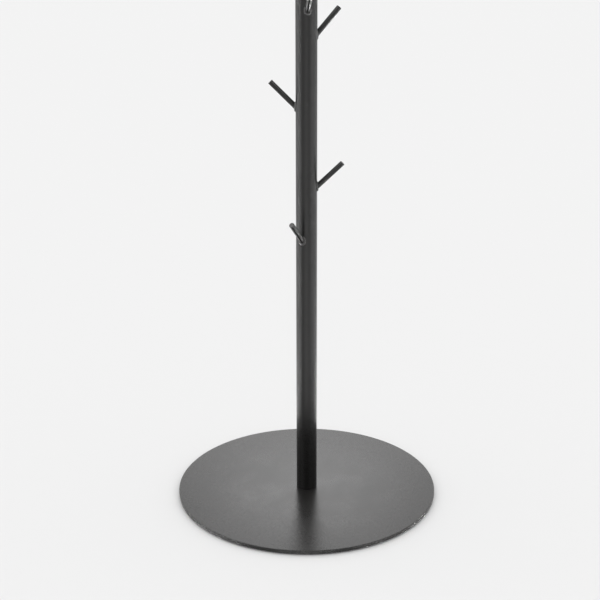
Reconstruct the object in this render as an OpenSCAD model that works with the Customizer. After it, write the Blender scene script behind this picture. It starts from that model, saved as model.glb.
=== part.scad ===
// Standing coat rack. A pole of two steel tubes stands on a round steel plate, and short round
// pegs are welded to it, each pointing outwards and up. Sizes are in millimetres. The origin is
// on the pole's axis at the level of the floor, and +Z is up. A turn of 0 degrees faces -Y, and
// a positive turn goes towards +X.

/* [Overall] */
// Height of the rack, from the floor to the top of the cap
height = 1730; // [1350:5:2100]

/* [Base plate] */
// Diameter of the base plate
base_d = 410; // [320:5:520]
// Thickness of the base plate
base_t = 6; // [5:0.5:10]
// Rounding of the base plate's upper and lower edges
base_edge_r = 0.8; // [0.3:0.1:1.5]

/* [Floor pads] */
// Number of pads under the base plate
pad_count = 6; // [3:1:8]
// Diameter of one pad
pad_d = 28; // [15:1:40]
// Thickness of one pad
pad_t = 2; // [1:0.5:4]
// Distance from the plate's rim to the nearest point of a pad
pad_inset = 12; // [5:1:30]
// Rounding of a pad's lower edge
pad_edge_r = 0.5; // [0.2:0.1:0.8]

/* [Pole] */
// Outer diameter of both tubes
pole_d = 32; // [26:1:45]
// Wall of both tubes
pole_wall = 1.5; // [1:0.1:2.5]
// Number of pegs on the lower tube, which ends half way to the next peg
lower_pegs = 6; // [6, 7]
// Bevel on the outer edge of each tube's end
tube_bevel = 0.3; // [0.1:0.1:0.5]

/* [Pegs] */
// Number of pegs
peg_count = 15; // [9:1:18]
// Diameter of a peg
peg_d = 8; // [6:0.5:11]
// Length of a peg along its own axis, from the pole's surface to its tip
peg_reach = 53; // [30:1:80]
// Angle of a peg above the horizontal
peg_tilt = 44; // [20:1:55]
// Bevel around both ends of a peg
peg_bevel = 0.4; // [0.1:0.1:0.8]
// Height of the lowest peg, where its axis meets the pole's surface
first_peg_z = 431; // [300:1:560]
// Distance from the top of the rack down to the highest peg
top_margin = 51; // [45:1:200]
// Radial clearance between a peg and its hole in the tube
peg_gap = 0.1; // [0.05:0.05:0.3]
// Length by which a peg's far side passes the inner face of the tube's wall
peg_through = 1; // [0.5:0.5:3]

/* [Weld beads] */
// Width of a bead on the pole, beside the peg
weld_leg = 3.4; // [2.4:0.1:4]
// Height of the bead's crown above the pole, at the middle of the peg
weld_crown = 3.4; // [2.8:0.1:4]

/* [Foot fixing] */
// Thread diameter of the screw that holds the pole from beneath
screw_d = 8; // [6:1:10]
// Length of the screw, head included
screw_len = 25; // [18:1:35]
// Diameter of the screw's countersunk head
screw_head_d = 16; // [14:0.5:17]
// Height of the straight rim of the screw's head
screw_rim = 0.4; // [0.2:0.1:0.6]
// Width across the flats of the screw's key socket
screw_key = 5; // [4:1:6]
// Depth of the screw's key socket
screw_key_depth = 3; // [2:0.5:3.5]
// Bevel on the tip of the screw
screw_bevel = 1; // [0.5:0.1:1.5]
// Length of the tapped insert in the foot of the lower tube
foot_insert_len = 24; // [20:1:40]

/* [Pole joint] */
// Thread diameter of the stud that joins the tubes
stud_d = 10; // [8:1:12]
// Length of the stud
stud_len = 44; // [36:1:50]
// Bevel on both ends of the stud
stud_bevel = 1; // [0.5:0.1:1.5]
// Length of the joint plug's spigot, which slides into the lower tube
spigot_len = 12; // [8:1:16]
// Length of the joint plug inside the upper tube
plug_len = 28; // [25:1:30]
// Length of the tapped socket inside the lower tube
socket_len = 25; // [22:1:28]

/* [Top cap] */
// Thickness of the cap's head
cap_t = 3; // [2:0.5:6]
// Rounding of the cap's upper edge
cap_edge_r = 1; // [0.5:0.1:1.5]
// Length of the cap's hollow stem inside the tube
cap_stem_len = 14; // [8:1:20]
// Wall of the cap's stem
cap_stem_wall = 2; // [1:0.5:3]

/* [Fits] */
// Radial clearance of a thread, which is modelled as a plain shank in a plain hole
thread_gap = 0.05; // [0.02:0.01:0.1]
// Radial clearance of a piece that is pressed or bonded into a tube
press_gap = 0.05; // [0.02:0.01:0.1]
// Radial clearance of the joint plug's spigot in the lower tube
slide_gap = 0.15; // [0.1:0.05:0.3]
// Clearance around the screw's shank and head in the base plate
screw_gap = 0.2; // [0.1:0.05:0.4]

/* [Hidden] */
$fn = 64;

// Pegs come in groups of four. Each next group stands one group's rise higher and is turned.
PEG_SHARE = [0, 0.233, 0.582, 0.885]; // heights within a group, as shares of its rise
PEG_TURN = [-24, 90, -98, 118];       // turns within a group, in degrees
GROUP_TURN = 31;                      // turn from one group to the next, in degrees

pole_r = pole_d / 2;
bore_r = pole_r - pole_wall;
peg_r = peg_d / 2;
screw_r = screw_d / 2;
stud_r = stud_d / 2;
foot_z = pad_t + base_t;              // the plate's upper face, where the pole stands
tube_top_z = height - cap_t;

group_rise = (height - top_margin - first_peg_z) / group_share(peg_count - 1);
joint_z = (peg_z(lower_pegs - 1) + peg_z(lower_pegs)) / 2;

// Length of a peg from the pole's surface inwards, until its far side is through the wall
peg_inside = pole_wall / cos(peg_tilt) + peg_r * tan(peg_tilt) + peg_through;

// A bead is a ball whose crown stands out of the pole
weld_foot_r = peg_r + weld_leg;
weld_ball_r = (weld_foot_r ^ 2 + weld_crown ^ 2) / (2 * weld_crown);
weld_cut = 2 * weld_ball_r;           // how far the shapes that trim a bead reach each way

screw_head_h = screw_head_d / 2 - screw_r + screw_rim; // a cone of 90 degrees and the rim

EXTRA = 1;                            // how far a cutting shape passes a face
PLATE_COLOR = [0.25, 0.25, 0.25];
POLE_COLOR = [0.19, 0.19, 0.19];
PEG_COLOR = [0.16, 0.16, 0.16];
WELD_COLOR = [0.3, 0.3, 0.3];
CAP_COLOR = [0.1, 0.1, 0.1];
PAD_COLOR = [0.35, 0.34, 0.33];
STEEL_COLOR = [0.7, 0.7, 0.72];

// Height of peg i above the lowest one, counted in group rises
function group_share(i) = floor(i / len(PEG_SHARE)) + PEG_SHARE[i % len(PEG_SHARE)];
function peg_z(i) = first_peg_z + group_rise * group_share(i);
function peg_turn(i) = PEG_TURN[i % len(PEG_TURN)] + GROUP_TURN * floor(i / len(PEG_TURN));

// Puts a shape on the pole's surface at peg i, with +X pointing out of the pole
module on_pole(i) {
    translate([0, 0, peg_z(i)]) rotate(peg_turn(i) - 90) translate([pole_r, 0, 0]) children();
}

// Puts a shape at the root of peg i, with +Z along the peg
module along_peg(i) {
    on_pole(i) rotate([0, 90 - peg_tilt, 0]) children();
}

// A round bar with bevelled ends, from z = low to z = high
module bevelled_bar(r, low, high, bevel) {
    rotate_extrude() polygon([
        [0, low], [r - bevel, low], [r, low + bevel],
        [r, high - bevel], [r - bevel, high], [0, high]]);
}

// A tube of the pole, from z = low to z = high, with the holes for pegs first to last
module pole_tube(low, high, first, last) {
    difference() {
        bevelled_bar(pole_r, low, high, tube_bevel);
        translate([0, 0, low - EXTRA]) cylinder(r = bore_r, h = high - low + 2 * EXTRA);
        for (i = [first:last])
            along_peg(i) translate([0, 0, -peg_inside])
                cylinder(r = peg_r + peg_gap, h = 2 * peg_inside);
    }
}

module base_plate() {
    edge_x = base_d / 2 - base_edge_r;
    color(PLATE_COLOR) translate([0, 0, pad_t]) difference() {
        rotate_extrude() {
            square([edge_x, base_t]);
            translate([0, base_edge_r]) square([base_d / 2, base_t - 2 * base_edge_r]);
            for (y = [base_edge_r, base_t - base_edge_r])
                translate([edge_x, y]) circle(base_edge_r);
        }
        translate([0, 0, -EXTRA]) cylinder(r = screw_r + screw_gap, h = base_t + 2 * EXTRA);
        rotate_extrude() polygon([
            [0, -EXTRA], [screw_head_d / 2 + screw_gap, -EXTRA],
            [screw_head_d / 2 + screw_gap, screw_rim],
            [0, screw_rim + screw_head_d / 2 + screw_gap]]);
    }
}

module floor_pad(i) {
    flat_r = pad_d / 2 - pad_edge_r;
    color(PAD_COLOR) rotate(360 * i / pad_count)
        translate([base_d / 2 - pad_inset - pad_d / 2, 0, 0]) rotate_extrude() {
            square([flat_r, pad_t]);
            translate([0, pad_edge_r]) square([pad_d / 2, pad_t - pad_edge_r]);
            intersection() {
                translate([flat_r, pad_edge_r]) circle(pad_edge_r);
                square([pad_d, pad_t]);
            }
        }
}

module base_screw() {
    color(STEEL_COLOR) translate([0, 0, pad_t]) difference() {
        rotate_extrude() polygon([
            [0, 0], [screw_head_d / 2, 0], [screw_head_d / 2, screw_rim],
            [screw_r, screw_head_h], [screw_r, screw_len - screw_bevel],
            [screw_r - screw_bevel, screw_len], [0, screw_len]]);
        // Six flats of the key socket
        translate([0, 0, -EXTRA])
            cylinder(d = screw_key / cos(30), h = screw_key_depth + EXTRA, $fn = 6);
    }
}

module foot_insert() {
    color(STEEL_COLOR) difference() {
        bevelled_bar(bore_r - press_gap, foot_z, foot_z + foot_insert_len, tube_bevel);
        translate([0, 0, foot_z - EXTRA])
            cylinder(r = screw_r + thread_gap, h = foot_insert_len + 2 * EXTRA);
    }
}

module lower_tube() {
    color(POLE_COLOR) pole_tube(foot_z, joint_z, 0, lower_pegs - 1);
}

module upper_tube() {
    color(POLE_COLOR) pole_tube(joint_z, tube_top_z, lower_pegs, peg_count - 1);
}

module joint_socket() {
    top = joint_z - spigot_len;
    color(STEEL_COLOR) difference() {
        bevelled_bar(bore_r - press_gap, top - socket_len, top, tube_bevel);
        translate([0, 0, top - socket_len - EXTRA])
            cylinder(r = stud_r + thread_gap, h = socket_len + 2 * EXTRA);
    }
}

module joint_plug() {
    color(STEEL_COLOR) difference() {
        union() {
            bevelled_bar(bore_r - slide_gap, joint_z - spigot_len, joint_z + EXTRA, tube_bevel);
            bevelled_bar(bore_r - press_gap, joint_z, joint_z + plug_len, tube_bevel);
        }
        translate([0, 0, joint_z - spigot_len - EXTRA])
            cylinder(r = stud_r + thread_gap, h = spigot_len + plug_len + 2 * EXTRA);
    }
}

// The stud reaches as far into the socket as into the plug, on each side of their meeting face
module joint_stud() {
    middle = joint_z - spigot_len;
    color(STEEL_COLOR)
        bevelled_bar(stud_r, middle - stud_len / 2, middle + stud_len / 2, stud_bevel);
}

module top_cap() {
    edge_x = pole_r - cap_edge_r;
    stem_r = bore_r - press_gap;
    color(CAP_COLOR) translate([0, 0, tube_top_z]) rotate_extrude() {
        square([edge_x, cap_t]);
        square([pole_r, cap_t - cap_edge_r]);
        intersection() {
            translate([edge_x, cap_t - cap_edge_r]) circle(cap_edge_r);
            square([pole_r, cap_t]);
        }
        translate([stem_r - cap_stem_wall, -cap_stem_len]) square([cap_stem_wall, cap_stem_len]);
    }
}

module peg(i) {
    color(PEG_COLOR) along_peg(i) bevelled_bar(peg_r, -peg_inside, peg_reach, peg_bevel);
}

// A ring of weld metal in the corner between peg i and the pole
module peg_weld(i) {
    color(WELD_COLOR) difference() {
        on_pole(i) translate([weld_crown - weld_ball_r, 0, 0]) sphere(weld_ball_r);
        translate([0, 0, peg_z(i) - weld_cut]) cylinder(r = pole_r, h = 2 * weld_cut);
        along_peg(i) translate([0, 0, -weld_cut]) cylinder(r = peg_r, h = 2 * weld_cut);
    }
}

base_plate();
base_screw();
foot_insert();
lower_tube();
joint_socket();
joint_stud();
joint_plug();
upper_tube();
top_cap();
for (i = [0:pad_count - 1])
    floor_pad(i);
for (i = [0:peg_count - 1]) {
    peg(i);
    peg_weld(i);
}
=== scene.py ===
"""Standing coat rack: its looks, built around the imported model. Lengths are in metres.

A round steel plate carries a slim two-part pole, and short round pegs are welded around the
pole. Everything that shows is black powder coat. The pieces take their sizes and places from
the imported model's own nodes.
"""
import logging
import math
from collections.abc import Callable, Iterator
from contextlib import contextmanager
from dataclasses import dataclass, field
from enum import Enum

import bmesh
import bpy
import numpy as np
from mathutils import Matrix, Vector


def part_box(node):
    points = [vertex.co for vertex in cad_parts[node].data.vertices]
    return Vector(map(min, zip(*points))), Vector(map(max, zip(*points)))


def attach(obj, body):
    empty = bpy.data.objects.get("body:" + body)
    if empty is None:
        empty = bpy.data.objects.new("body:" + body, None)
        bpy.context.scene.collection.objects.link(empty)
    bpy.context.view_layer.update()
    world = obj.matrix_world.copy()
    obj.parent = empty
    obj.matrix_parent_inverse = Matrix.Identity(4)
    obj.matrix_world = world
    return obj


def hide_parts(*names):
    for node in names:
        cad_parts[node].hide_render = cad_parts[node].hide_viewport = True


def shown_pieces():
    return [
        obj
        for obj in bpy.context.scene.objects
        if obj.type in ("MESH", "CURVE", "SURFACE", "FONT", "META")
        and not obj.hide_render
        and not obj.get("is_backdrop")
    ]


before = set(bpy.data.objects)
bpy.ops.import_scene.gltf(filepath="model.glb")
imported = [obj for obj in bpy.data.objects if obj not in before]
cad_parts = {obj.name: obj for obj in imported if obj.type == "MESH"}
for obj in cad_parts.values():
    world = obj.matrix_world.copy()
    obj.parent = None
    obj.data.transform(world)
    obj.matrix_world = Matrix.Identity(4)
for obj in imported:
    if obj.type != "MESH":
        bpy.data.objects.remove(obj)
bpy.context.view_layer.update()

LOG = logging.getLogger("coat_rack")
BODY = "root"
MM = 0.001

# Two corners this close count as one place, and corners closer than MERGE_WITHIN become one.
NEAR = 0.01 * MM
MERGE_WITHIN = 0.001 * MM
# What lies this close to the end of a round bar is part of its end face.
END_DEPTH = 0.5 * MM
# A face looks up or down when its normal's Z passes this.
FACING = 0.99
# Below this sideways reach a direction counts as upright.
UPRIGHT_WITHIN = 1e-6
# Edges that turn by more than this stay sharp.
SMOOTH_ANGLE = math.radians(35)
# How strong the finer octaves of a noise are, and the part of its range that is made full use of.
OCTAVE_STRENGTH = 0.55
SPOT_RANGE = (0.3, 0.7)
# How far from the rack the softboxes are drawn. Their light doesn't depend on it.
STUDIO_REACH = 6.0


class Slot(Enum):
    """The record's material slots."""

    POWDER_COAT = "powder_coat"
    ZINC_STEEL = "zinc_steel"
    CAP_PLASTIC = "cap_plastic"
    PAD_RUBBER = "pad_rubber"


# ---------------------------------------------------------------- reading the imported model


def node_points(node: str) -> np.ndarray:
    """Gives the corners of a CAD node's mesh.

    Args:
        node: The node's name.

    Returns:
        An array with a row of x, y and z for each corner.
    """
    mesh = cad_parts[node].data
    points = np.empty(len(mesh.vertices) * 3)
    mesh.vertices.foreach_get("co", points)
    return points.reshape(-1, 3)


def nodes_named(prefix: str) -> list[str]:
    """Gives the names of the numbered CAD nodes that start with prefix, in their order.

    Args:
        prefix: What stands before the number.

    Returns:
        The names, such as peg_1 and peg_2.
    """
    numbers = [n[len(prefix):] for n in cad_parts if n.startswith(prefix)]
    return [prefix + n for n in sorted((n for n in numbers if n.isdigit()), key=int)]


@dataclass(frozen=True)
class Bar:
    """A straight round bar: the middles of its two ends, and its radius."""

    start: Vector
    end: Vector
    radius: float

    @property
    def along(self) -> Vector:
        """The unit vector from start to end."""
        return (self.end - self.start).normalized()

    @property
    def length(self) -> float:
        """The bar's length."""
        return (self.end - self.start).length

    @staticmethod
    def of_node(node: str) -> "Bar":
        """Measures a CAD node that is a round bar.

        Args:
            node: The node's name.

        Returns:
            The bar, starting at the end that is nearer to the Z axis.
        """
        points = node_points(node)
        middle = points.mean(0)
        axis = np.linalg.svd(points - middle, full_matrices=False)[2][0]
        reach = (points - middle) @ axis
        ends = []
        for far in (reach.min(), reach.max()):
            face = points[np.abs(reach - far) < END_DEPTH]
            ends.append((face.min(0) + face.max(0)) / 2)
        if math.hypot(*ends[0][:2]) > math.hypot(*ends[1][:2]):
            ends.reverse()
        axis = (ends[1] - ends[0]) / np.linalg.norm(ends[1] - ends[0])
        out = points - ends[0]
        radius = np.linalg.norm(out - np.outer(out @ axis, axis), axis=1).max()
        return Bar(Vector(ends[0]), Vector(ends[1]), float(radius))


# ---------------------------------------------------------------- modelling by operators


def deselect_all() -> None:
    """Leaves no object selected."""
    for thing in bpy.context.selected_objects:
        thing.select_set(False)


def activate(piece: bpy.types.Object) -> None:
    """Makes a piece the one selected and active object.

    Args:
        piece: The piece.
    """
    deselect_all()
    piece.select_set(True)
    bpy.context.view_layer.objects.active = piece


def named(name: str) -> bpy.types.Object:
    """Names the object that a primitive operator has just added.

    Args:
        name: The piece's name.

    Returns:
        The object.
    """
    piece = bpy.context.object
    piece.name = name
    piece.data.name = name
    return piece


@contextmanager
def editing(piece: bpy.types.Object) -> Iterator[None]:
    """Opens a piece in edit mode, with nothing in it selected, and closes it again.

    Args:
        piece: The piece.
    """
    activate(piece)
    bpy.ops.object.mode_set(mode="EDIT")
    bpy.ops.mesh.select_all(action="DESELECT")
    try:
        yield
    finally:
        bpy.ops.object.mode_set(mode="OBJECT")


def select_edges(piece: bpy.types.Object, test: Callable[[Vector, Vector], bool]) -> None:
    """Selects the edges of an open piece by their two ends, and nothing else.

    Args:
        piece: A piece in edit mode.
        test: Says from an edge's two ends whether the edge is wanted.
    """
    bpy.ops.mesh.select_mode(type="EDGE")
    bpy.ops.mesh.select_all(action="DESELECT")
    mesh = bmesh.from_edit_mesh(piece.data)
    wanted = [e for e in mesh.edges if test(e.verts[0].co, e.verts[1].co)]
    for edge in wanted:
        edge.select_set(True)
    bmesh.update_edit_mesh(piece.data)


def select_faces(piece: bpy.types.Object, test: Callable[[Vector, Vector], bool]) -> None:
    """Selects the faces of an open piece by their middle and normal, and nothing else.

    Args:
        piece: A piece in edit mode.
        test: Says from a face's middle and normal whether the face is wanted.
    """
    bpy.ops.mesh.select_mode(type="FACE")
    bpy.ops.mesh.select_all(action="DESELECT")
    mesh = bmesh.from_edit_mesh(piece.data)
    wanted = [f for f in mesh.faces if test(f.calc_center_median(), f.normal)]
    for face in wanted:
        face.select_set(True)
    bmesh.update_edit_mesh(piece.data)


def round_rims(piece: bpy.types.Object, heights: tuple[float, ...], radius: float,
               offset: float, segments: int = 4) -> None:
    """Rounds the circular edges of a turned piece that lie at given heights.

    Args:
        piece: A piece whose axis is the Z axis.
        heights: The heights of the edges.
        radius: The radius of the edges.
        offset: The radius of the rounding.
        segments: How many steps the rounding has.
    """

    def on_rim(a: Vector, b: Vector) -> bool:
        """Says whether an edge lies on one of the rims."""
        level = any(abs(a.z - h) < NEAR and abs(b.z - h) < NEAR for h in heights)
        return level and all(abs(p.xy.length - radius) < NEAR for p in (a, b))

    with editing(piece):
        select_edges(piece, on_rim)
        bpy.ops.mesh.bevel(offset=offset, segments=segments, profile=0.5, affect="EDGES")


def put_in_place(piece: bpy.types.Object) -> None:
    """Moves a piece's place, turn and scale into its mesh."""
    activate(piece)
    bpy.ops.object.transform_apply(location=True, rotation=True, scale=True)


def apply_modifier(piece: bpy.types.Object, kind: str, **settings: object) -> None:
    """Adds a modifier to a piece and applies it.

    Args:
        piece: The piece.
        kind: The modifier's type, such as SOLIDIFY.
        settings: The modifier's properties.
    """
    activate(piece)
    modifier = piece.modifiers.new(kind.lower(), kind)
    for key, value in settings.items():
        setattr(modifier, key, value)
    bpy.ops.object.modifier_apply(modifier=modifier.name)


def smooth(piece: bpy.types.Object) -> None:
    """Shades a piece smooth, apart from its sharp edges."""
    activate(piece)
    bpy.ops.object.shade_smooth_by_angle(angle=SMOOTH_ANGLE)


def face_outwards(piece: bpy.types.Object) -> None:
    """Merges doubled corners and turns every face outwards.

    Args:
        piece: The piece.
    """
    with editing(piece):
        bpy.ops.mesh.select_all(action="SELECT")
        bpy.ops.mesh.remove_doubles(threshold=MERGE_WITHIN)
        bpy.ops.mesh.normals_make_consistent(inside=False)


def standing_along(direction: Vector) -> Matrix:
    """Gives the turn that stands the Z axis along a direction and keeps the X axis level.

    Args:
        direction: The direction, of length 1.

    Returns:
        The turn.
    """
    side = Vector((0, 0, 1)).cross(direction)
    side = side.normalized() if side.length > UPRIGHT_WITHIN else Vector((1, 0, 0))
    up = direction.cross(side)
    return Matrix((side, up, direction)).transposed().to_4x4()


def round_bar(name: str, bar: Bar, steps: int) -> bpy.types.Object:
    """Models a plain round bar, to be cut out of a piece.

    Args:
        name: Its name.
        bar: Its ends and radius.
        steps: How many sides it has.

    Returns:
        The bar, with its place in its mesh.
    """
    deselect_all()
    bpy.ops.mesh.primitive_cylinder_add(vertices=steps, radius=bar.radius, depth=bar.length,
                                        location=(0, 0, 0))
    tool = named(name)
    middle = (bar.start + bar.end) / 2
    tool.data.transform(Matrix.Translation(middle) @ standing_along(bar.along))
    return tool


def joined(pieces: list[bpy.types.Object]) -> bpy.types.Object:
    """Joins pieces into one object.

    Args:
        pieces: The pieces.

    Returns:
        The first of them, which now holds them all.
    """
    deselect_all()
    for piece in pieces:
        piece.select_set(True)
    bpy.context.view_layer.objects.active = pieces[0]
    bpy.ops.object.join()
    return bpy.context.object


def cut(piece: bpy.types.Object, tool: bpy.types.Object, solver: str) -> None:
    """Cuts a tool out of a piece and puts the tool away.

    Args:
        piece: The piece.
        tool: What is cut out of it.
        solver: The Boolean modifier's solver.
    """
    apply_modifier(piece, "BOOLEAN", operation="DIFFERENCE", solver=solver, object=tool)
    bpy.data.objects.remove(tool)


def stamp(master: bpy.types.Object, name: str, place: Matrix) -> bpy.types.Object:
    """Copies a master piece, with a mesh of its own, to its place.

    Args:
        master: The piece, modelled at the origin.
        name: The copy's name.
        place: Where the copy goes.

    Returns:
        The copy.
    """
    copy = bpy.data.objects.new(name, master.data.copy())
    copy.data.name = name
    copy.data.transform(place)
    bpy.context.scene.collection.objects.link(copy)
    return copy


def paint(piece: bpy.types.Object, attribute: str, rule: Callable[[Vector], float]) -> None:
    """Writes a number from 0 to 1 on each corner of a piece, for its finish to read.

    Args:
        piece: The piece.
        attribute: The attribute's name.
        rule: Gives the number from the corner's place.
    """
    layer = piece.data.attributes.new(attribute, "FLOAT", "POINT")
    values = [min(max(rule(v.co), 0.0), 1.0) for v in piece.data.vertices]
    layer.data.foreach_set("value", values)


def dress(piece: bpy.types.Object, finish: bpy.types.Material) -> None:
    """Gives a piece one material all over."""
    piece.data.materials.clear()
    piece.data.materials.append(finish)


def hand_over(piece: bpy.types.Object, slot: Slot, *nodes: str) -> None:
    """Hangs a finished piece on the rack's body, hides the CAD nodes that it stands for and logs
    its size.

    Args:
        piece: The piece.
        slot: Its material slot; not used.
        nodes: The CAD nodes that it stands for.
    """
    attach(piece, BODY)
    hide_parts(*nodes)
    corners = [Vector(c) for c in piece.bound_box]
    size = [max(c[i] for c in corners) - min(c[i] for c in corners) for i in range(3)]
    LOG.info("%s: %d faces, %.1f x %.1f x %.1f mm", piece.name, len(piece.data.polygons),
             *(s / MM for s in size))


# ---------------------------------------------------------------- finishes


class NodeSheet:
    """A material's node tree, with short ways to add nodes and join them."""

    def __init__(self, name: str) -> None:
        """Makes an undressed material with a Principled shader.

        Args:
            name: The material's name.
        """
        self.material = bpy.data.materials.new(name)
        self.material.use_nodes = True
        self.tree = self.material.node_tree
        self.shader = self.tree.nodes["Principled BSDF"]
        self.place = self.add("ShaderNodeTexCoord").outputs["Object"]

    def add(self, kind: str, **settings: object) -> bpy.types.Node:
        """Adds a node.

        Args:
            kind: The node's type.
            settings: Its properties.

        Returns:
            The node.
        """
        node = self.tree.nodes.new(kind)
        for key, value in settings.items():
            setattr(node, key, value)
        return node

    def feed(self, socket: bpy.types.NodeSocket, value: object) -> None:
        """Joins a value to a socket if it is an output, and otherwise sets it there.

        Args:
            socket: The socket.
            value: An output of another node, or a number or colour.
        """
        if isinstance(value, bpy.types.NodeSocket):
            self.tree.links.new(value, socket)
        else:
            socket.default_value = value

    def noise(self, size: float, detail: float = 3.0,
              stretch: tuple[float, float, float] = (1, 1, 1)) -> bpy.types.NodeSocket:
        """Adds a noise on the object's own coordinates.

        Args:
            size: How large its spots are.
            detail: How many octaves it has.
            stretch: How much longer the spots are along each axis.

        Returns:
            The noise, from 0 to 1.
        """
        mapping = self.add("ShaderNodeMapping")
        self.feed(mapping.inputs["Vector"], self.place)
        mapping.inputs["Scale"].default_value = tuple(1 / s for s in stretch)
        noise = self.add("ShaderNodeTexNoise")
        self.feed(noise.inputs["Vector"], mapping.outputs["Vector"])
        noise.inputs["Scale"].default_value = 1 / size
        noise.inputs["Detail"].default_value = detail
        noise.inputs["Roughness"].default_value = OCTAVE_STRENGTH
        return noise.outputs["Fac"]

    def ranged(self, value: bpy.types.NodeSocket, low: float, high: float,
               to_low: float = 0.0, to_high: float = 1.0) -> bpy.types.NodeSocket:
        """Maps a number from one range to another, and holds it there.

        Args:
            value: The number.
            low: The first range's start.
            high: The first range's end.
            to_low: What low becomes.
            to_high: What high becomes.

        Returns:
            The mapped number.
        """
        node = self.add("ShaderNodeMapRange")
        for key, number in (("Value", value), ("From Min", low), ("From Max", high),
                            ("To Min", to_low), ("To Max", to_high)):
            self.feed(node.inputs[key], number)
        return node.outputs["Result"]

    def maths(self, operation: str, first: object, second: object = 0.0) -> bpy.types.NodeSocket:
        """Adds a sum, product or other operation on two numbers.

        Args:
            operation: The Math node's operation.
            first: The first number.
            second: The second number.

        Returns:
            The result.
        """
        node = self.add("ShaderNodeMath", operation=operation)
        self.feed(node.inputs[0], first)
        self.feed(node.inputs[1], second)
        return node.outputs["Value"]

    def mixed(self, share: object, first: object, second: object) -> bpy.types.NodeSocket:
        """Mixes two colours.

        Args:
            share: The second colour's share, from 0 to 1.
            first: The first colour.
            second: The second colour.

        Returns:
            The mixed colour.
        """
        node = self.add("ShaderNodeMix", data_type="RGBA")
        self.feed(node.inputs["Factor"], share)
        self.feed(node.inputs["A"], first)
        self.feed(node.inputs["B"], second)
        return node.outputs["Result"]

    def painted(self, attribute: str) -> bpy.types.NodeSocket:
        """Reads a number that was painted on the piece's corners, 0 where none was."""
        return self.add("ShaderNodeAttribute", attribute_name=attribute).outputs["Fac"]

    def bump(self, *layers: tuple[bpy.types.NodeSocket, float, float]) -> None:
        """Joins bumps to the shader, one over the other.

        Args:
            layers: Each a height from 0 to 1, its real height, and its strength.
        """
        below = None
        for height, distance, strength in layers:
            node = self.add("ShaderNodeBump")
            self.feed(node.inputs["Height"], height)
            node.inputs["Distance"].default_value = distance
            node.inputs["Strength"].default_value = strength
            if below is not None:
                self.feed(node.inputs["Normal"], below)
            below = node.outputs["Normal"]
        self.feed(self.shader.inputs["Normal"], below)


@dataclass(frozen=True)
class PowderCoat:
    """Satin black powder coat on steel: a fine grain over a slow orange peel.

    Where the paint attribute "wear" is above 0, the coat is rubbed: a little lighter and
    glossier on what hands and hangers touch. Grain, peel, cloud, fleck and rub are the sizes of
    their spots. A lift is a factor on the coat's tone, a share says how much of the lifted
    tone shows, and a gloss how far the roughness moves.
    """

    name: str
    tone: float = 0.005
    warmth: float = 1.05
    roughness: float = 0.26
    roughness_spread: float = 0.03
    gloss_index: float = 1.42
    grain: float = 0.45 * MM
    grain_depth: float = 0.012 * MM
    peel: float = 3.2 * MM
    peel_depth: float = 0.02 * MM
    cloud: float = 70 * MM
    cloud_lifts: tuple[float, float] = (0.86, 1.14)
    fleck: float = 0.9 * MM
    fleck_range: tuple[float, float] = (0.66, 0.74)
    fleck_share: float = 0.25
    fleck_lift: float = 1.9
    rub: float = 2.5 * MM
    rub_range: tuple[float, float] = (0.35, 0.6)
    rub_share: float = 0.5
    rub_lift: float = 2.6
    rub_gloss: float = 0.08
    grain_gloss: float = 0.03

    def colour(self, lift: float) -> tuple[float, float, float, float]:
        """Gives the coat's colour, lifted by a factor."""
        tone = self.tone * lift
        return (tone * self.warmth, tone, tone / self.warmth, 1.0)

    def build(self) -> bpy.types.Material:
        """Makes the material.

        Returns:
            The material.
        """
        sheet = NodeSheet(self.name)
        grain = sheet.noise(self.grain, detail=2.0)
        peel = sheet.noise(self.peel, detail=2.0)
        cloud = sheet.noise(self.cloud, detail=4.0)
        fleck = sheet.ranged(sheet.noise(self.fleck, detail=1.0), *self.fleck_range)
        wear = sheet.maths("MULTIPLY", sheet.painted("wear"),
                           sheet.ranged(sheet.noise(self.rub, detail=5.0), *self.rub_range))
        darker, lighter = (self.colour(lift) for lift in self.cloud_lifts)
        shade = sheet.mixed(sheet.ranged(cloud, *SPOT_RANGE), darker, lighter)
        shade = sheet.mixed(sheet.maths("MULTIPLY", fleck, self.fleck_share), shade,
                            self.colour(self.fleck_lift))
        shade = sheet.mixed(sheet.maths("MULTIPLY", wear, self.rub_share), shade,
                            self.colour(self.rub_lift))
        sheet.feed(sheet.shader.inputs["Base Color"], shade)
        low, high = self.roughness - self.roughness_spread, self.roughness + self.roughness_spread
        rough = sheet.ranged(cloud, *SPOT_RANGE, low, high)
        fine = sheet.ranged(grain, *SPOT_RANGE, -self.grain_gloss, self.grain_gloss)
        rough = sheet.maths("ADD", rough, fine)
        sheet.feed(sheet.shader.inputs["Roughness"],
                   sheet.maths("SUBTRACT", rough, sheet.maths("MULTIPLY", wear, self.rub_gloss)))
        sheet.shader.inputs["IOR"].default_value = self.gloss_index
        sheet.bump((peel, self.peel_depth, 1.0), (grain, self.grain_depth, 1.0))
        return sheet.material


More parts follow.
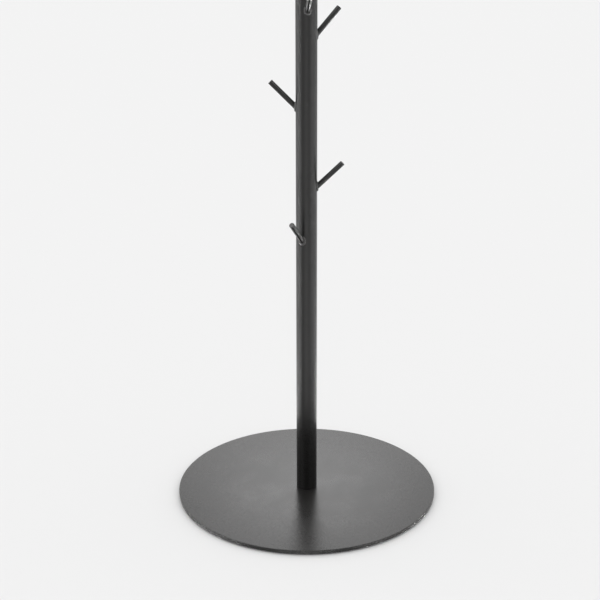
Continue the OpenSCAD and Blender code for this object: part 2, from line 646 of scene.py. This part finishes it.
@dataclass(frozen=True)
class ZincSteel:
    """Bright zinc plating over turned steel, with fine turning lines."""

    name: str
    tone: float = 0.58
    roughness: float = 0.3
    smoother: float = 0.08
    rougher: float = 0.1
    blue_tint: tuple[float, float, float] = (0.96, 0.99, 1.05)
    yellow_tint: tuple[float, float, float] = (1.02, 1.0, 0.93)
    bloom: float = 5 * MM
    bloom_range: tuple[float, float] = (0.35, 0.65)
    line: float = 1.2 * MM
    line_depth: float = 0.02 * MM
    line_strength: float = 0.6
    line_stretch: tuple[float, float, float] = (6, 6, 0.15)

    def build(self) -> bpy.types.Material:
        """Makes the material.

        Returns:
            The material.
        """
        sheet = NodeSheet(self.name)
        bloom = sheet.ranged(sheet.noise(self.bloom, detail=5.0), *self.bloom_range)
        lines = sheet.noise(self.line, detail=3.0, stretch=self.line_stretch)
        blue, yellow = ((*(self.tone * part for part in tint), 1.0)
                        for tint in (self.blue_tint, self.yellow_tint))
        sheet.feed(sheet.shader.inputs["Base Color"], sheet.mixed(bloom, blue, yellow))
        sheet.shader.inputs["Metallic"].default_value = 1.0
        low, high = self.roughness - self.smoother, self.roughness + self.rougher
        sheet.feed(sheet.shader.inputs["Roughness"], sheet.ranged(lines, *SPOT_RANGE, low, high))
        sheet.bump((lines, self.line_depth, self.line_strength))
        return sheet.material


@dataclass(frozen=True)
class MouldedPlastic:
    """Matt black plastic out of a spark-eroded mould."""

    name: str
    tone: float = 0.018
    light_tint: tuple[float, float, float] = (1.4, 1.4, 1.42)
    roughness: float = 0.55
    smoother: float = 0.06
    rougher: float = 0.08
    grain: float = 0.35 * MM
    grain_depth: float = 0.03 * MM
    grain_strength: float = 0.8
    cloud: float = 9 * MM

    def build(self) -> bpy.types.Material:
        """Makes the material.

        Returns:
            The material.
        """
        sheet = NodeSheet(self.name)
        grain = sheet.noise(self.grain, detail=3.0)
        cloud = sheet.ranged(sheet.noise(self.cloud, detail=3.0), *SPOT_RANGE)
        dark = (self.tone, self.tone, self.tone, 1.0)
        light = (*(self.tone * part for part in self.light_tint), 1.0)
        sheet.feed(sheet.shader.inputs["Base Color"], sheet.mixed(cloud, dark, light))
        low, high = self.roughness - self.smoother, self.roughness + self.rougher
        sheet.feed(sheet.shader.inputs["Roughness"], sheet.ranged(grain, *SPOT_RANGE, low, high))
        sheet.bump((grain, self.grain_depth, self.grain_strength))
        return sheet.material


@dataclass(frozen=True)
class PadRubber:
    """Dense black foam rubber with open pores on its skin; the pores are painted darker, as
    painted shade in the pits.
    """

    name: str
    tone: float = 0.03
    pore_shade_tint: tuple[float, float, float] = (0.5, 0.5, 0.5)
    light_tint: tuple[float, float, float] = (1.3, 1.28, 1.25)
    pore: float = 0.6 * MM
    pore_range: tuple[float, float] = (0.05, 0.5)
    pore_depth: float = 0.08 * MM
    pore_strength: float = 0.8
    patch: float = 2 * MM
    roughness_range: tuple[float, float] = (0.78, 0.92)

    def build(self) -> bpy.types.Material:
        """Makes the material.

        Returns:
            The material.
        """
        sheet = NodeSheet(self.name)
        pores = sheet.add("ShaderNodeTexVoronoi")
        sheet.feed(pores.inputs["Vector"], sheet.place)
        pores.inputs["Scale"].default_value = 1 / self.pore
        depth = sheet.ranged(pores.outputs["Distance"], *self.pore_range)
        # The colour is painted darker where the pores sink in: painted shade in the pits, which
        # the bump also shapes.
        dark, light = ((*(self.tone * part for part in tint), 1.0)
                       for tint in (self.pore_shade_tint, self.light_tint))
        sheet.feed(sheet.shader.inputs["Base Color"], sheet.mixed(depth, dark, light))
        sheet.feed(sheet.shader.inputs["Roughness"],
                   sheet.ranged(sheet.noise(self.patch), *SPOT_RANGE, *self.roughness_range))
        sheet.bump((depth, self.pore_depth, self.pore_strength))
        return sheet.material


# ---------------------------------------------------------------- the base


@dataclass
class Base:
    """The round plate and its floor pads, with the plate's hole sized to the screw that holds the
    pole from beneath.
    """

    coat: bpy.types.Material
    rubber: bpy.types.Material
    edge: float = 0.8 * MM
    steps: int = 256
    screw_gap: float = 0.2 * MM
    worn_edge: float = 1.6 * MM
    wear_fade: float = 1.4 * MM
    pad_edge: float = 0.5 * MM
    pad_steps: int = 64

    def build(self) -> None:
        """Builds and dresses the plate and the pads."""
        self.build_plate()
        self.build_pads()

    def build_plate(self) -> None:
        """Turns the plate: a disc with rounded rims and a countersunk hole in the middle."""
        low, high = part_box("base_plate")
        radius = (high.x - low.x) / 2
        head_low, head_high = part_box("base_screw")
        head_r = (head_high.x - head_low.x) / 2 + self.screw_gap
        shank_r = np.hypot(*node_points("base_plate")[:, :2].T).min()
        deselect_all()
        bpy.ops.mesh.primitive_cylinder_add(
            vertices=self.steps, radius=radius, depth=high.z - low.z,
            location=(0, 0, (low.z + high.z) / 2), end_fill_type="NGON")
        plate = named("base_plate_coated")
        put_in_place(plate)
        round_rims(plate, (low.z, high.z), radius, self.edge, segments=5)
        flat_r = radius - self.edge
        with editing(plate):
            select_faces(plate, lambda middle, normal: (
                normal.z > FACING and middle.z > high.z - NEAR))
            bpy.ops.mesh.inset(thickness=flat_r - shank_r)
            bpy.ops.mesh.delete(type="ONLY_FACE")
            select_faces(plate, lambda middle, normal: (
                normal.z < -FACING and middle.z < low.z + NEAR))
            bpy.ops.mesh.inset(thickness=flat_r - head_r)
            cone = head_r - shank_r
            bpy.ops.mesh.extrude_region_move(TRANSFORM_OT_translate={"value": (0, 0, cone)})
            bpy.ops.transform.resize(value=(shank_r / head_r, shank_r / head_r, 1),
                                     center_override=(0, 0, low.z + cone))
            bpy.ops.mesh.delete(type="ONLY_FACE")
            select_edges(plate, lambda a, b: all(
                p.xy.length < shank_r + NEAR and p.z > low.z + cone - NEAR for p in (a, b)))
            bpy.ops.mesh.bridge_edge_loops()
        face_outwards(plate)
        smooth(plate)
        paint(plate, "wear", lambda p: (p.xy.length - radius + self.worn_edge) / self.wear_fade)
        dress(plate, self.coat)
        hand_over(plate, Slot.POWDER_COAT, "base_plate")

    def build_pads(self) -> None:
        """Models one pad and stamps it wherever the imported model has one."""
        pads = nodes_named("floor_pad_")
        low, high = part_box(pads[0])
        radius = (high.x - low.x) / 2
        depth = high.z - low.z
        deselect_all()
        bpy.ops.mesh.primitive_cylinder_add(vertices=self.pad_steps, radius=radius, depth=depth,
                                            location=(0, 0, 0), end_fill_type="NGON")
        master = named("pad_master")
        round_rims(master, (-depth / 2,), radius, self.pad_edge)
        smooth(master)
        for node in pads:
            low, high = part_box(node)
            pad = stamp(master, f"{node}_foam", Matrix.Translation((low + high) / 2))
            dress(pad, self.rubber)
            hand_over(pad, Slot.PAD_RUBBER, node)
        bpy.data.objects.remove(master)


# ---------------------------------------------------------------- the pole


@dataclass
class Pole:
    """The two tubes and the cap on top."""

    coat: bpy.types.Material
    plastic: bpy.types.Material
    pegs: list[Bar]
    steps: int = 128
    end_bevel: float = 0.3 * MM
    ring_gap: float = 12 * MM
    hole_gap: float = 0.1 * MM
    hole_steps: int = 48
    cap_edge: float = 1.0 * MM
    radius: float = field(init=False)
    bore: float = field(init=False)

    def __post_init__(self) -> None:
        """Reads the tube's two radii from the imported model."""
        reach = np.hypot(*node_points("lower_tube")[:, :2].T)
        self.radius, self.bore = float(reach.max()), float(reach.min())

    def build(self) -> None:
        """Builds and dresses both tubes and the cap."""
        for node in ("lower_tube", "upper_tube"):
            self.build_tube(node)
        self.build_cap()

    def hole_cutter(self, pegs: list[Bar]) -> bpy.types.Object:
        """Makes one object of all the bars that cut a tube's peg holes.

        Args:
            pegs: The pegs of that tube.

        Returns:
            The cutter.
        """
        holes = [Bar(peg.start, peg.end, peg.radius + self.hole_gap) for peg in pegs]
        return joined([round_bar("hole_bar", hole, self.hole_steps) for hole in holes])

    def build_tube(self, node: str) -> None:
        """Models a tube: a drawn wall with a hole for each peg and a small bevel at each end.

        Args:
            node: The tube's CAD node.
        """
        low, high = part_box(node)
        deselect_all()
        bpy.ops.mesh.primitive_cylinder_add(
            vertices=self.steps, radius=self.radius, depth=high.z - low.z,
            location=(0, 0, (low.z + high.z) / 2), end_fill_type="NOTHING")
        tube = named(f"{node}_coated")
        put_in_place(tube)
        mine = [peg for peg in self.pegs if low.z < peg.start.z < high.z]
        with editing(tube):
            for peg in mine:
                slope = peg.along.z / peg.along.xy.length
                root = peg.start.z + (self.radius - peg.start.xy.length) * slope
                for height in (root - self.ring_gap, root + self.ring_gap):
                    bpy.ops.mesh.select_all(action="SELECT")
                    bpy.ops.mesh.bisect(plane_co=(0, 0, height), plane_no=(0, 0, 1))
        apply_modifier(tube, "SOLIDIFY", thickness=self.radius - self.bore, offset=-1.0)
        round_rims(tube, (low.z, high.z), self.radius, self.end_bevel, segments=3)
        cut(tube, self.hole_cutter(mine), solver="EXACT")
        smooth(tube)
        dress(tube, self.coat)
        hand_over(tube, Slot.POWDER_COAT, node)

    def build_cap(self) -> None:
        """Models the cap: a head with a rounded rim over a hollow stem."""
        low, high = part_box("top_cap")
        head_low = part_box("upper_tube")[1].z
        stem = np.hypot(*node_points("top_cap")[:, :2].T)
        stem_r = float(stem[stem < self.bore].max())
        stem_bore = float(stem[stem > stem_r / 2].min())
        deselect_all()
        bpy.ops.mesh.primitive_cylinder_add(
            vertices=self.steps, radius=self.radius, depth=high.z - head_low,
            location=(0, 0, (high.z + head_low) / 2), end_fill_type="NGON")
        cap = named("top_cap_moulded")
        put_in_place(cap)
        round_rims(cap, (high.z,), self.radius, self.cap_edge, segments=5)
        with editing(cap):
            select_faces(cap, lambda middle, normal: normal.z < -FACING)
            bpy.ops.mesh.inset(thickness=self.radius - stem_r)
            bpy.ops.mesh.extrude_region_move(
                TRANSFORM_OT_translate={"value": (0, 0, low.z - head_low)})
            bpy.ops.mesh.inset(thickness=stem_r - stem_bore)
            bpy.ops.mesh.extrude_region_move(
                TRANSFORM_OT_translate={"value": (0, 0, head_low - low.z - NEAR)})
        face_outwards(cap)
        smooth(cap)
        dress(cap, self.plastic)
        hand_over(cap, Slot.CAP_PLASTIC, "top_cap")


# ---------------------------------------------------------------- the pegs


@dataclass
class Pegs:
    """The round pegs, sawn off square and welded into the pole."""

    coat: bpy.types.Material
    bars: list[Bar]
    steps: int = 48
    bevel: float = 0.4 * MM
    worn_length: float = 9 * MM
    ring_shares: tuple[float, ...] = (0.3, 0.6, 0.8, 0.9, 0.95)

    def build(self) -> None:
        """Models one peg, standing on its inner end, and stamps it at each place."""
        first = self.bars[0]
        deselect_all()
        bpy.ops.mesh.primitive_cylinder_add(
            vertices=self.steps, radius=first.radius, depth=first.length,
            location=(0, 0, first.length / 2), end_fill_type="NGON")
        master = named("peg_master")
        put_in_place(master)
        round_rims(master, (0.0, first.length), first.radius, self.bevel, segments=3)
        with editing(master):
            for share in self.ring_shares:
                bpy.ops.mesh.select_all(action="SELECT")
                bpy.ops.mesh.bisect(plane_co=(0, 0, first.length * share), plane_no=(0, 0, 1))
        smooth(master)
        for number, bar in enumerate(self.bars, start=1):
            place = Matrix.Translation(bar.start) @ standing_along(bar.along)
            peg = stamp(master, f"peg_{number}_coated", place)
            self.wear_tip(peg, bar.end)
            dress(peg, self.coat)
            hand_over(peg, Slot.POWDER_COAT, f"peg_{number}")
        bpy.data.objects.remove(master)

    def wear_tip(self, peg: bpy.types.Object, tip: Vector) -> None:
        """Paints the wear that hangers leave on a peg's outer end.

        Args:
            peg: The peg.
            tip: The middle of its outer end.
        """
        paint(peg, "wear", lambda point: 1 - (point - tip).length / self.worn_length)


@dataclass
class WeldBeads:
    """The weld bead round the root of each peg: puddles laid one over the other.

    Spread is how much a puddle's size varies, and lean how far it tips away from the pole. The
    seam's direction is taken from look_ahead radians on each side. Seat is how deep a bead
    reaches into the peg and the pole, so that no gap shows between them.
    """

    coat: bpy.types.Material
    bars: list[Bar]
    pole_radius: float
    puddles: int = 21
    puddle_radius: float = 2.15 * MM
    spread: float = 0.13
    flatness: float = 0.62
    lean: float = math.radians(28)
    mesh_size: float = 0.22 * MM
    melt_rounds: int = 3
    pits: int = 6
    pit_radius: float = 0.38 * MM
    pit_sizes: tuple[float, float] = (0.7, 1.2)
    seat: float = 0.3 * MM
    tool_length: float = 60 * MM
    tool_steps: int = 96
    puddle_grid: tuple[int, int] = (24, 14)
    pit_grid: tuple[int, int] = (12, 8)
    look_ahead: float = 0.1
    melt: float = 0.5

    def build(self) -> None:
        """Lays and dresses a bead round every peg."""
        for number, bar in enumerate(self.bars, start=1):
            dice = np.random.default_rng(number)
            bead = self.lay_puddles(bar, dice)
            cut(bead, self.pit_balls(bar, dice), solver="MANIFOLD")
            level, half = bar.start.z, self.tool_length / 2
            peg = Bar(bar.start, bar.end, bar.radius - self.seat)
            pole = Bar(Vector((0, 0, level - half)), Vector((0, 0, level + half)),
                       self.pole_radius - self.seat)
            for metal in (peg, pole):
                cut(bead, round_bar("seat_tool", metal, self.tool_steps), solver="MANIFOLD")
            bead.name = bead.data.name = f"peg_{number}_weld"
            smooth(bead)
            dress(bead, self.coat)
            hand_over(bead, Slot.POWDER_COAT, f"peg_weld_{number}")

    def seam(self, bar: Bar, angle: float) -> Vector:
        """Gives a point of the line where a peg's side meets the pole's surface.

        Args:
            bar: The peg.
            angle: How far round the peg the point is.

        Returns:
            The point.
        """
        out = standing_along(bar.along).to_3x3() @ Vector((math.cos(angle), math.sin(angle), 0))
        start = bar.start + out * bar.radius
        flat, way = start.xy, bar.along.xy
        square, half_linear = way.dot(way), flat.dot(way)
        constant = flat.dot(flat) - self.pole_radius**2
        reach = (-half_linear + math.sqrt(half_linear * half_linear - square * constant)) / square
        return start + bar.along * reach

    def ball(self, name: str, grid: tuple[int, int]) -> bpy.types.Object:
        """Adds a ball of radius 1 at the origin.

        Args:
            name: Its name.
            grid: How many strips it has round its axis, and bands from pole to pole.

        Returns:
            The ball.
        """
        deselect_all()
        bpy.ops.mesh.primitive_uv_sphere_add(segments=grid[0], ring_count=grid[1], radius=1)
        return named(name)

    def lay_puddles(self, bar: Bar, dice: np.random.Generator) -> bpy.types.Object:
        """Lays flat puddles round a peg's root, each leaning on the last, and melts them.

        Args:
            bar: The peg.
            dice: What the puddles' sizes and places are drawn from.

        Returns:
            The bead, not yet cut to its seat.
        """
        master = self.ball("puddle_master", self.puddle_grid)
        with editing(master):
            bpy.ops.mesh.select_all(action="SELECT")
            bpy.ops.transform.resize(value=(1, 1, self.flatness))
        turn = dice.uniform(0, math.tau)
        laid = []
        for step in range(self.puddles):
            angle = turn + math.tau * step / self.puddles
            middle = self.seam(bar, angle)
            ahead = (self.seam(bar, angle + self.look_ahead)
                     - self.seam(bar, angle - self.look_ahead))
            outward = Vector((*middle.xy.normalized(), 0))
            travel = ahead.normalized() * math.cos(self.lean) + outward * math.sin(self.lean)
            size = self.puddle_radius * (1 + dice.uniform(-self.spread, self.spread))
            place = (Matrix.Translation(middle) @ standing_along(travel.normalized())
                     @ Matrix.Scale(size, 4))
            laid.append(stamp(master, f"puddle_{step}", place))
        bpy.data.objects.remove(master)
        bead = joined(laid)
        apply_modifier(bead, "REMESH", mode="VOXEL", voxel_size=self.mesh_size)
        apply_modifier(bead, "SMOOTH", factor=self.melt, iterations=self.melt_rounds)
        return bead

    def pit_balls(self, bar: Bar, dice: np.random.Generator) -> bpy.types.Object:
        """Scatters the small balls that leave gas pits in a bead's skin.

        Args:
            bar: The peg.
            dice: What the pits' places are drawn from.

        Returns:
            The balls as one object.
        """
        master = self.ball("pit_master", self.pit_grid)
        balls = []
        for step in range(self.pits):
            angle = dice.uniform(0, math.tau)
            middle = self.seam(bar, angle)
            skin = middle + Vector((*middle.xy.normalized(), 0)) * self.puddle_radius
            size = self.pit_radius * dice.uniform(*self.pit_sizes)
            place = Matrix.Translation(skin) @ Matrix.Scale(size, 4)
            balls.append(stamp(master, f"pit_{step}", place))
        bpy.data.objects.remove(master)
        return joined(balls)


# ---------------------------------------------------------------- the studio


@dataclass(frozen=True)
class Softbox:
    """A round softbox, so far off that it lights every part of the rack from one direction.

    It lights only the rack, so that the floor stays even. A softbox below the horizon stands
    for what a bounce card lying on the floor throws up at the rack. The azimuth is counted
    from the +X axis towards the +Y axis, and the brightness is that of the softbox's own face.
    """

    name: str
    azimuth: float
    elevation: float
    width: float
    brightness: float

    def hang(self, rack: bpy.types.Collection) -> None:
        """Hangs the softbox as a sun lamp of its width.

        Args:
            rack: What it lights, and what casts shadows in its light.
        """
        lamp = bpy.data.lights.new(self.name, "SUN")
        lamp.angle = math.radians(self.width)
        lamp.energy = self.brightness * math.tau * (1 - math.cos(lamp.angle / 2))
        lamp.cycles.use_multiple_importance_sampling = self.elevation > 0
        turn, rise = math.radians(self.azimuth), math.radians(self.elevation)
        towards = Vector((math.cos(turn) * math.cos(rise), math.sin(turn) * math.cos(rise),
                          math.sin(rise)))
        light = bpy.data.objects.new(self.name, lamp)
        light.rotation_euler = towards.to_track_quat("Z", "Y").to_euler()
        light.location = towards * STUDIO_REACH
        light.light_linking.receiver_collection = rack
        light.light_linking.blocker_collection = rack
        bpy.context.scene.collection.objects.link(light)


@dataclass
class Studio:
    """The floor, the light and the camera."""

    softboxes: tuple[Softbox, ...] = (
        Softbox("left_bounce", azimuth=184, elevation=-18, width=52, brightness=1.5),
        Softbox("right_bounce", azimuth=334, elevation=-18, width=44, brightness=1.0),
        Softbox("far_right_bounce", azimuth=14, elevation=-18, width=30, brightness=0.7),
        Softbox("low_left_bounce", azimuth=145, elevation=-45, width=36, brightness=1.8),
        Softbox("low_right_bounce", azimuth=35, elevation=-50, width=44, brightness=2.5),
        Softbox("front_bounce", azimuth=270, elevation=-30, width=44, brightness=0.7),
        Softbox("back_box", azimuth=90, elevation=30, width=12, brightness=3.2),
        Softbox("top_box", azimuth=90, elevation=62, width=50, brightness=1.1),
        Softbox("upper_left_box", azimuth=215, elevation=50, width=44, brightness=4.0),
        Softbox("upper_right_box", azimuth=320, elevation=50, width=44, brightness=2.6),
    )
    room_back: float = 1.45
    room_front: float = 0.66
    backdrop: float = 0.887
    floor_tone: float = 0.75
    floor_roughness: float = 0.9
    floor_radius: float = 14.0
    floor_steps: int = 96
    dim_before: float = -0.9
    bright_behind: float = 0.3
    camera_distance: float = 11.034
    camera_height: float = 5.985
    camera_pitch: float = math.radians(21.69)
    camera_yaw: float = math.radians(-0.255)
    camera_roll: float = math.radians(-0.13)
    lens: float = 94.97
    sensor: float = 36.0
    farthest_seen: float = 100.0

    def build(self) -> None:
        """Lays the floor, hangs the lights and sets up the camera."""
        bpy.context.scene.view_settings.view_transform = "Standard"
        self.build_camera()
        self.build_floor()
        self.build_room()
        rack = bpy.data.collections.new("rack")
        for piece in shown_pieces():
            rack.objects.link(piece)
        for softbox in self.softboxes:
            softbox.hang(rack)

    def build_camera(self) -> None:
        """Sets the camera, whose distance and height are counted in the plate's radius."""
        low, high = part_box("base_plate")
        unit = (high.x - low.x) / 2
        camera = bpy.data.objects.new("camera", bpy.data.cameras.new("camera"))
        bpy.context.scene.collection.objects.link(camera)
        camera.data.lens = self.lens
        camera.data.sensor_width = self.sensor
        camera.data.clip_end = self.farthest_seen
        turn = (Matrix.Rotation(-self.camera_yaw, 4, "Z")
                @ Matrix.Rotation(math.pi / 2 - self.camera_pitch, 4, "X")
                @ Matrix.Rotation(self.camera_roll, 4, "Z"))
        place = Vector((0, -self.camera_distance * unit, self.camera_height * unit + low.z))
        camera.matrix_world = Matrix.Translation(place) @ turn
        bpy.context.scene.camera = camera

    def build_floor(self) -> None:
        """Lays a plain pale floor."""
        deselect_all()
        bpy.ops.mesh.primitive_circle_add(vertices=self.floor_steps, radius=self.floor_radius,
                                          fill_type="NGON", location=(0, 0, 0))
        floor = named("floor")
        sheet = NodeSheet("pale_floor")
        sheet.shader.inputs["Base Color"].default_value = (*[self.floor_tone] * 3, 1.0)
        sheet.shader.inputs["Roughness"].default_value = self.floor_roughness
        sheet.shader.inputs["Specular IOR Level"].default_value = 0.0
        dress(floor, sheet.material)
        floor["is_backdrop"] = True

    def build_room(self) -> None:
        """Makes the room round the floor: pale behind and beside the rack, dim before it."""
        world = bpy.data.worlds.new("room")
        bpy.context.scene.world = world
        world.use_nodes = True
        tree = world.node_tree
        back = tree.nodes["Background"]
        way = tree.nodes.new("ShaderNodeTexCoord").outputs["Generated"]
        split = tree.nodes.new("ShaderNodeSeparateXYZ")
        tree.links.new(way, split.inputs["Vector"])
        dimming = tree.nodes.new("ShaderNodeMapRange")
        dimming.interpolation_type = "SMOOTHSTEP"
        tree.links.new(split.outputs["Y"], dimming.inputs["Value"])
        for key, number in (("From Min", self.dim_before), ("From Max", self.bright_behind),
                            ("To Min", self.room_front), ("To Max", self.room_back)):
            dimming.inputs[key].default_value = number
        seen = tree.nodes.new("ShaderNodeLightPath").outputs["Is Camera Ray"]
        choice = tree.nodes.new("ShaderNodeMix")
        tree.links.new(seen, choice.inputs["Factor"])
        tree.links.new(dimming.outputs["Result"], choice.inputs["A"])
        choice.inputs["B"].default_value = self.backdrop
        tree.links.new(choice.outputs["Result"], back.inputs["Strength"])
        back.inputs["Color"].default_value = (1.0, 1.0, 1.0, 1.0)


def dress_hidden_steel(zinc: bpy.types.Material) -> None:
    """Gives the screw and the pieces inside the pole their zinc finish.

    Args:
        zinc: The finish.
    """
    for node in ("base_screw", "foot_insert", "joint_socket", "joint_stud", "joint_plug"):
        dress(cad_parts[node], zinc)
        LOG.info("%s: zinc finish", node)


def main() -> None:
    """Builds the rack's visible pieces and the studio around it."""
    logging.basicConfig(level=logging.INFO, format="%(name)s: %(message)s")
    pole_coat = PowderCoat("pole_powder_coat", roughness=0.29, peel_depth=0.008 * MM).build()
    plate_coat = PowderCoat("plate_powder_coat", roughness=0.30).build()
    peg_coat = PowderCoat("peg_powder_coat", grain_depth=0.006 * MM).build()
    # The beads get the same powder coat with its tone lifted from 0.005 to 0.012: a painted
    # glint, lighter than the rest of the coat, for the brighter highlights on the welds.
    bead_coat_lightened_for_glint = PowderCoat("bead_powder_coat", tone=0.012, gloss_index=1.7).build()
    bars = [Bar.of_node(node) for node in nodes_named("peg_")]
    Base(plate_coat, PadRubber("pad_rubber").build()).build()
    pole = Pole(pole_coat, MouldedPlastic("cap_plastic").build(), bars)
    pole.build()
    Pegs(peg_coat, bars).build()
    WeldBeads(bead_coat_lightened_for_glint, bars, pole.radius).build()
    dress_hidden_steel(ZincSteel("zinc_steel").build())
    Studio().build()


if __name__ == "__main__":
    main()
